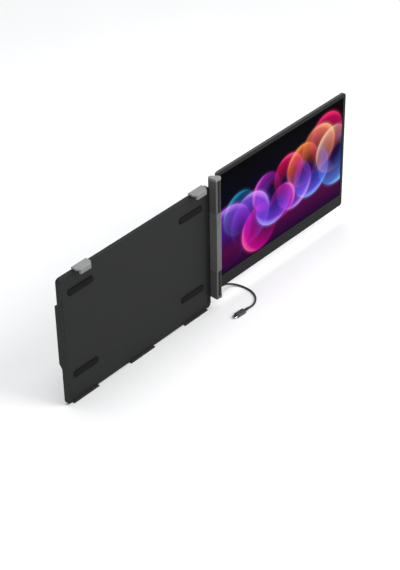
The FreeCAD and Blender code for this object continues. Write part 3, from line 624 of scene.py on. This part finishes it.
@dataclass
class Cord:
    """The cord on the desk, its strain reliefs and its two plugs."""

    shop: MaterialShop
    diameter: float = 3.6 * MM
    elbow: Point = (-31.5 * MM, 22.4 * MM, 22.0 * MM)  # where the elbow's relief starts, before the lean
    relief_length: float = 12.0 * MM
    root_radius: float = 3.0 * MM
    tip_radius: float = 2.3 * MM
    ribs: int = 4
    steps_per_rib: int = 4
    groove_steps: Tuple[int, int] = (2, 3)              # the steps of each rib that are cut in
    groove_depth: float = 0.32 * MM
    relief_sides: int = 32
    plug: Point = (17.5 * MM, -43.5 * MM, 3.3 * MM)     # where the plug's relief starts
    plug_turn: float = math.radians(-3.0)
    length: float = 0.182
    way: List[Point] = field(default_factory=lambda: [  # in millimetres from the hinge axis, not leaned
        (-6.0, 23.8, 21.8), (10.0, 24.6, 20.8), (26.0, 26.5, 14.3), (42.0, 29.0, 10.0), (54.0, 27.6, 6.8),
        (65.0, 20.8, 3.2), (71.0, 9.0, 1.9), (72.5, -5.5, 1.9), (70.5, -20.0, 1.9), (63.5, -32.5, 1.9),
        (52.0, -41.0, 1.9), (40.5, -44.6, 2.0)])

    def start(self) -> Vector:
        """Gives the point where the cord leaves the elbow plug's relief."""
        return from_hinge(Vector(self.elbow) + Vector((self.relief_length, 0, 0)))

    def plug_heading(self) -> Vector:
        """Gives the direction from the plug towards the cord."""
        return Vector((math.cos(self.plug_turn), math.sin(self.plug_turn), 0))

    def end(self) -> Vector:
        """Gives the point where the cord enters the plug's relief."""
        return Vector(self.plug) + self.plug_heading() * self.relief_length + Vector(HINGE)

    def build(self) -> None:
        points = [self.start()]
        points += [Vector(p) * MM + Vector(HINGE) for p in self.way]
        points.append(self.end())
        line = bpy.data.curves.new("cord_line", "CURVE")
        line.dimensions = "3D"
        line.bevel_depth = self.diameter / 2
        line.bevel_resolution = 5
        line.use_fill_caps = True
        spline = line.splines.new("NURBS")
        spline.points.add(len(points) - 1)
        for place, point in zip(spline.points, points):
            place.co = (*point, 1.0)
        spline.order_u = 3
        spline.use_endpoint_u = True
        spline.resolution_u = 16
        line.materials.append(self.shop.make(Finishes.JACKET))
        cord = bpy.data.objects.new("cord_line", line)
        bpy.context.collection.objects.link(cord)
        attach(cord, "bracket")
        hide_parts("cord")
        plug_relief = self.relief("plug_relief_ribbed", Vector(self.plug) + Vector(HINGE),
                                  self.plug_heading(), "plug_relief")
        elbow_relief = self.relief("elbow_relief_ribbed", from_hinge(self.elbow), Vector((1, 0, 0)),
                                   "elbow_relief")
        LOG.info("made the cord, %.0f mm", self.length / MM)

    def relief(self, name: str, root: Vector, heading: Vector, node: str) -> bpy.types.Object:
        """Makes a tapered strain relief with ring grooves.

        Args:
            name: The piece's name.
            root: Where it starts, at the plug.
            heading: The direction from the plug towards the cord.
            node: The frame's piece that it stands for.

        Returns:
            The relief.
        """
        mesh = bmesh.new()
        steps = self.ribs * self.steps_per_rib
        step = self.relief_length / steps
        outline = [(0.0, 0.0)]
        for i in range(steps + 1):
            along = i * step
            radius = self.root_radius + (self.tip_radius - self.root_radius) * along / self.relief_length
            if i % self.steps_per_rib in self.groove_steps and i < steps:
                radius -= self.groove_depth
            outline.append((along, radius))
        outline.append((self.relief_length, 0.0))
        places = [mesh.verts.new((along, radius, 0)) for along, radius in outline]
        edges = [mesh.edges.new(pair) for pair in zip(places, places[1:])]
        bmesh.ops.spin(mesh, geom=places + edges, cent=(0, 0, 0), axis=(1, 0, 0), angle=math.tau,
                       steps=self.relief_sides, use_merge=True)
        turn = Vector((1, 0, 0)).rotation_difference(heading).to_matrix()
        bmesh.ops.transform(mesh, matrix=Matrix.Translation(root) @ turn.to_4x4(), verts=mesh.verts)
        piece = new_piece(name, mesh, self.shop.make(Finishes.JACKET), "bracket")
        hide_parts(node)
        return piece


@dataclass
class Trim:
    """Small parts that only the looks need: socket tongues, marks by the buttons and grip ribs on the plug.

    Lengths are in millimetres from the hinge axis of the upright device.
    """

    shop: MaterialShop
    side_face: float = 364.2            # of the monitor
    socket_floor: float = 358.6
    socket_heights: Tuple[float, float] = (152.2, 174.2)
    tongue_end: float = 363.2
    tongue_y: float = 9.3
    tongue_width: float = 5.4
    tongue_thickness: float = 0.6
    tongue_round: float = 0.12
    contacts: int = 6
    contact_pitch: float = 0.8
    contact_half: float = 0.18
    contact_stand: float = 0.05         # over the tongue's face
    contact_setback: float = 0.6        # from the tongue's end
    contact_round: float = 0.03
    mark_y: float = 9.7
    mark_size: float = 2.2
    mark_stroke: float = 0.4
    mark_stand: float = 0.08            # over the monitor's side
    mark_root: float = 0.1              # inside the wall
    mark_round: float = 0.04
    power_height: float = 104.4
    plus_height: float = 88.4
    minus_height: float = 72.4
    ring_gap: float = math.radians(40)  # to each side of the top, where the power mark's ring is open
    ring_steps: int = 28
    ring_bar_reach: float = 0.2         # of the bar past the ring
    plug_root: Point = (17.5, -43.5, 6.6)   # at the top of the plug, where the cord enters
    plug_turn: float = math.radians(-3.0)
    ribs: int = 5
    rib_pitch: float = 1.9
    first_rib: float = 3.4
    rib_width: float = 6.4
    rib_half: float = 0.45
    rib_stand: float = 0.3
    rib_round: float = 0.2

    @staticmethod
    def bar(mesh: bmesh.types.BMesh, low: Point, high: Point, round_by: float) -> None:
        """Adds one bar with rounded edges.

        Args:
            mesh: The mesh that it goes into.
            low: Its lower corner.
            high: Its upper corner.
            round_by: How far its edges are rounded.
        """
        low_end, high_end = Vector(low) * MM, Vector(high) * MM
        made = bmesh.ops.create_cube(mesh, size=1.0)["verts"]
        bmesh.ops.scale(mesh, vec=high_end - low_end, verts=made)
        bmesh.ops.translate(mesh, vec=(low_end + high_end) / 2, verts=made)
        edges = list({edge for place in made for edge in place.link_edges})
        bmesh.ops.bevel(mesh, geom=edges, offset=round_by * MM, segments=2, profile=0.5, affect="EDGES",
                        material=-1)

    def mark_bar(self, mesh: bmesh.types.BMesh, low_z: float, high_z: float, half_width: float) -> None:
        """Adds one bar of a mark on the monitor's side.

        Args:
            mesh: The mesh that it goes into.
            low_z: The height of its lower end.
            high_z: The height of its upper end.
            half_width: Half of its width.
        """
        self.bar(mesh, (self.side_face - self.mark_root, self.mark_y - half_width, low_z),
                 (self.side_face + self.mark_stand, self.mark_y + half_width, high_z), self.mark_round)

    def ring(self, mesh: bmesh.types.BMesh, height: float) -> None:
        """Adds the ring of the power mark, open at its top.

        Args:
            mesh: The mesh that it goes into.
            height: The height of its centre.
        """
        back, front = self.side_face - self.mark_root, self.side_face + self.mark_stand
        outer, inner = self.mark_size / 2, self.mark_size / 2 - self.mark_stroke
        outline = [(back, inner), (back, outer), (front, outer), (front, inner)]
        places = [mesh.verts.new(Vector((x, self.mark_y, height + reach)) * MM) for x, reach in outline]
        face = mesh.faces.new(places)
        centre = Vector((self.side_face, self.mark_y, height)) * MM
        bmesh.ops.rotate(mesh, cent=centre, matrix=Matrix.Rotation(self.ring_gap, 3, "X"), verts=places)
        bmesh.ops.spin(mesh, geom=[face, *face.edges, *places], cent=centre, axis=(1, 0, 0),
                       angle=math.tau - 2 * self.ring_gap, steps=self.ring_steps)

    @staticmethod
    def lean(mesh: bmesh.types.BMesh) -> None:
        """Moves a mesh from the upright device to the leaning frame.

        Args:
            mesh: The mesh.
        """
        turn = Matrix.Translation(HINGE) @ Matrix.Rotation(-LEAN, 4, "X")
        bmesh.ops.transform(mesh, matrix=turn, verts=mesh.verts)

    def build(self) -> None:
        """Makes all the trim."""
        self.socket_tongues()
        self.button_marks()
        self.plug_ribs()

    def socket_tongues(self) -> None:
        """Makes the tongue with its contacts inside each socket of the monitor."""
        tongues, contacts = bmesh.new(), bmesh.new()
        half, reach = self.tongue_thickness / 2, self.tongue_width / 2
        contact_reach = half + self.contact_stand
        for height in self.socket_heights:
            self.bar(tongues, (self.socket_floor, self.tongue_y - half, height - reach),
                     (self.tongue_end, self.tongue_y + half, height + reach), self.tongue_round)
            for i in range(self.contacts):
                middle = height + (i - (self.contacts - 1) / 2) * self.contact_pitch
                self.bar(contacts,
                         (self.socket_floor, self.tongue_y - contact_reach, middle - self.contact_half),
                         (self.tongue_end - self.contact_setback, self.tongue_y + contact_reach,
                          middle + self.contact_half), self.contact_round)
        for name, mesh, finish, slot in (("socket_tongues", tongues, Finishes.SHELL, "shell_dark"),
                                         ("socket_contacts", contacts, Finishes.CONTACT, "plated_metal")):
            self.lean(mesh)
            new_piece(name, mesh, self.shop.make(finish), "monitor")

    def button_marks(self) -> None:
        """Makes a power, a plus and a minus mark above the buttons."""
        half, stroke = self.mark_size / 2, self.mark_stroke / 2
        marks = bmesh.new()
        self.ring(marks, self.power_height)
        self.mark_bar(marks, self.power_height, self.power_height + half + self.ring_bar_reach, stroke)
        for height in (self.plus_height, self.minus_height):
            self.mark_bar(marks, height - stroke, height + stroke, half)
        self.mark_bar(marks, self.plus_height - half, self.plus_height + half, stroke)
        self.lean(marks)
        new_piece("button_marks", marks, self.shop.make(Finishes.MARK), "monitor")

    def plug_ribs(self) -> None:
        """Makes the grip ribs across the top of the plug on the desk."""
        ribs = bmesh.new()
        half = self.rib_width / 2
        for i in range(self.ribs):
            along = -self.first_rib - i * self.rib_pitch
            self.bar(ribs, (along - self.rib_half, -half, -self.rib_stand),
                     (along + self.rib_half, half, self.rib_stand), self.rib_round)
        turn = Matrix.Translation(Vector(self.plug_root) * MM + Vector(HINGE))
        turn = turn @ Matrix.Rotation(self.plug_turn, 4, "Z")
        bmesh.ops.transform(ribs, matrix=turn, verts=ribs.verts)
        new_piece("plug_ribs", ribs, self.shop.make(Finishes.GRIP), "bracket")


@dataclass(frozen=True)
class Lamp:
    """One soft square lamp that points at the device."""

    name: str
    place: Point
    size: float
    power: float


@dataclass
class Studio:
    """The pale floor, the soft lights and the camera."""

    camera_place: Point = (-1.82174, -1.60372, 1.91238)
    yaw: float = math.radians(48.537)
    pitch: float = math.radians(37.761)
    roll: float = math.radians(0.417)
    lens: float = 107.142
    sensor: float = 36.0
    near: float = 0.1
    far: float = 60.0
    aim: Point = (0, 0, 0.12)           # where the lamps point
    lamps: Tuple[Lamp, ...] = (
        Lamp("key_light", (1.0, -1.6, 1.7), 1.6, 42.0),
        Lamp("fill_light", (-1.7, -0.6, 1.3), 1.8, 5.0),
        Lamp("top_light", (0.0, 0.3, 2.2), 2.0, 34.0))
    world_colour: Colour = (0.95, 0.97, 1.0)
    world_strength: float = 0.36
    floor_half: float = 14.0
    floor_drop: float = 0.0002
    floor_roughness: float = 0.9
    floor_shine: float = 0.1
    floor_colours: Tuple[Colour, Colour] = ((0.9, 0.9, 0.9), (0.92, 0.92, 0.92))
    floor_cells: float = 6.0            # of its faint unevenness, in one metre
    white_from: float = 0.7             # distance at which the floor starts to turn to the backdrop's white
    white_at: float = 2.2

    def build(self) -> None:
        """Sets up the whole studio."""
        self.floor()
        self.world()
        for lamp in self.lamps:
            self.hang(lamp)
        self.camera()
        bpy.context.scene.view_settings.view_transform = "Standard"
        LOG.info("set up the studio")

    def camera(self) -> None:
        """Places the camera at the photograph's angle."""
        level = math.cos(self.pitch)
        forward = Vector((math.sin(self.yaw) * level, math.cos(self.yaw) * level, -math.sin(self.pitch)))
        right = Vector((math.cos(self.yaw), -math.sin(self.yaw), 0))
        up = right.cross(forward)
        turned_right = right * math.cos(self.roll) + up * math.sin(self.roll)
        turned_up = up * math.cos(self.roll) - right * math.sin(self.roll)
        data = bpy.data.cameras.new("camera")
        data.lens = self.lens
        data.sensor_width = self.sensor
        data.clip_start = self.near
        data.clip_end = self.far
        camera = bpy.data.objects.new("camera", data)
        bpy.context.collection.objects.link(camera)
        turn = Matrix((turned_right, turned_up, -forward)).transposed()
        camera.matrix_world = Matrix.Translation(Vector(self.camera_place)) @ turn.to_4x4()
        bpy.context.scene.camera = camera

    def floor(self) -> None:
        """Lays a plain pale floor that turns to the white of the backdrop far from the device."""
        mesh = bmesh.new()
        bmesh.ops.create_grid(mesh, x_segments=1, y_segments=1, size=self.floor_half)
        data = bpy.data.meshes.new("floor")
        mesh.to_mesh(data)
        mesh.free()
        material, tree, shader = MaterialShop.blank("pale_floor")
        shader.inputs["Roughness"].default_value = self.floor_roughness
        shader.inputs["Specular IOR Level"].default_value = self.floor_shine
        haze = MaterialShop.noise(tree, MaterialShop.object_coordinates(tree), self.floor_cells, 2.0)
        colour = MaterialShop.ramp(tree, haze, list(zip(MaterialShop.NOISE_SPAN, self.floor_colours)))
        tree.links.new(colour, shader.inputs["Base Color"])
        away = tree.nodes.new("ShaderNodeVectorMath")
        away.operation = "LENGTH"
        tree.links.new(MaterialShop.object_coordinates(tree), away.inputs[0])
        reach = tree.nodes.new("ShaderNodeMapRange")
        reach.interpolation_type = "SMOOTHSTEP"
        reach.inputs["From Min"].default_value = self.white_from
        reach.inputs["From Max"].default_value = self.white_at
        tree.links.new(away.outputs["Value"], reach.inputs["Value"])
        share = tree.nodes.new("ShaderNodeMath")
        share.operation = "MULTIPLY"
        tree.links.new(reach.outputs["Result"], share.inputs[0])
        tree.links.new(self.seen_rays(tree), share.inputs[1])
        white = tree.nodes.new("ShaderNodeEmission")
        mix = tree.nodes.new("ShaderNodeMixShader")
        tree.links.new(share.outputs["Value"], mix.inputs["Fac"])
        tree.links.new(shader.outputs["BSDF"], mix.inputs[1])
        tree.links.new(white.outputs["Emission"], mix.inputs[2])
        tree.links.new(mix.outputs["Shader"], tree.nodes["Material Output"].inputs["Surface"])
        data.materials.append(material)
        floor = bpy.data.objects.new("floor", data)
        floor.location.z = -self.floor_drop
        bpy.context.collection.objects.link(floor)

    @staticmethod
    def seen_rays(tree: bpy.types.NodeTree) -> bpy.types.NodeSocket:
        """Tells the rays that show the backdrop from the rays that carry light.

        Args:
            tree: The tree of the material or the world.

        Returns:
            The socket that is one for camera, glossy and transmission rays.
        """
        path = tree.nodes.new("ShaderNodeLightPath")
        seen = path.outputs["Is Camera Ray"]
        for ray in ("Is Glossy Ray", "Is Transmission Ray"):
            either = tree.nodes.new("ShaderNodeMath")
            either.operation = "MAXIMUM"
            tree.links.new(seen, either.inputs[0])
            tree.links.new(path.outputs[ray], either.inputs[1])
            seen = either.outputs["Value"]
        return seen

    def world(self) -> None:
        """Lights the object evenly from all round, over a white backdrop."""
        world = bpy.data.worlds.new("studio")
        world.use_nodes = True
        tree = world.node_tree
        ground = tree.nodes["Background"]
        ground.inputs["Color"].default_value = (*self.world_colour, 1)
        ground.inputs["Strength"].default_value = self.world_strength
        backdrop = tree.nodes.new("ShaderNodeBackground")
        backdrop.inputs["Color"].default_value = (1, 1, 1, 1)
        mix = tree.nodes.new("ShaderNodeMixShader")
        tree.links.new(self.seen_rays(tree), mix.inputs["Fac"])
        tree.links.new(ground.outputs["Background"], mix.inputs[1])
        tree.links.new(backdrop.outputs["Background"], mix.inputs[2])
        tree.links.new(mix.outputs["Shader"], tree.nodes["World Output"].inputs["Surface"])
        bpy.context.scene.world = world

    def hang(self, lamp: Lamp) -> None:
        """Hangs one lamp.

        Args:
            lamp: The lamp.
        """
        data = bpy.data.lights.new(lamp.name, "AREA")
        data.size = lamp.size
        data.energy = lamp.power
        light = bpy.data.objects.new(lamp.name, data)
        bpy.context.collection.objects.link(light)
        light.location = lamp.place
        way = Vector(self.aim) - Vector(lamp.place)
        light.rotation_mode = "QUATERNION"
        light.rotation_quaternion = way.to_track_quat("-Z", "Y")


def main() -> None:
    """Builds the studio, the cord, the finishes and the trim."""
    logging.basicConfig(level=logging.INFO, format="%(name)s: %(message)s")
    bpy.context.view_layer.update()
    shop = MaterialShop()
    Studio().build()
    Cord(shop).build()
    Trim(shop).build()
    FrameDresser(shop).build()
    FrameDresser.dress("display_panel", DisplayPicture().build(shop))


if __name__ == "__main__":
    main()
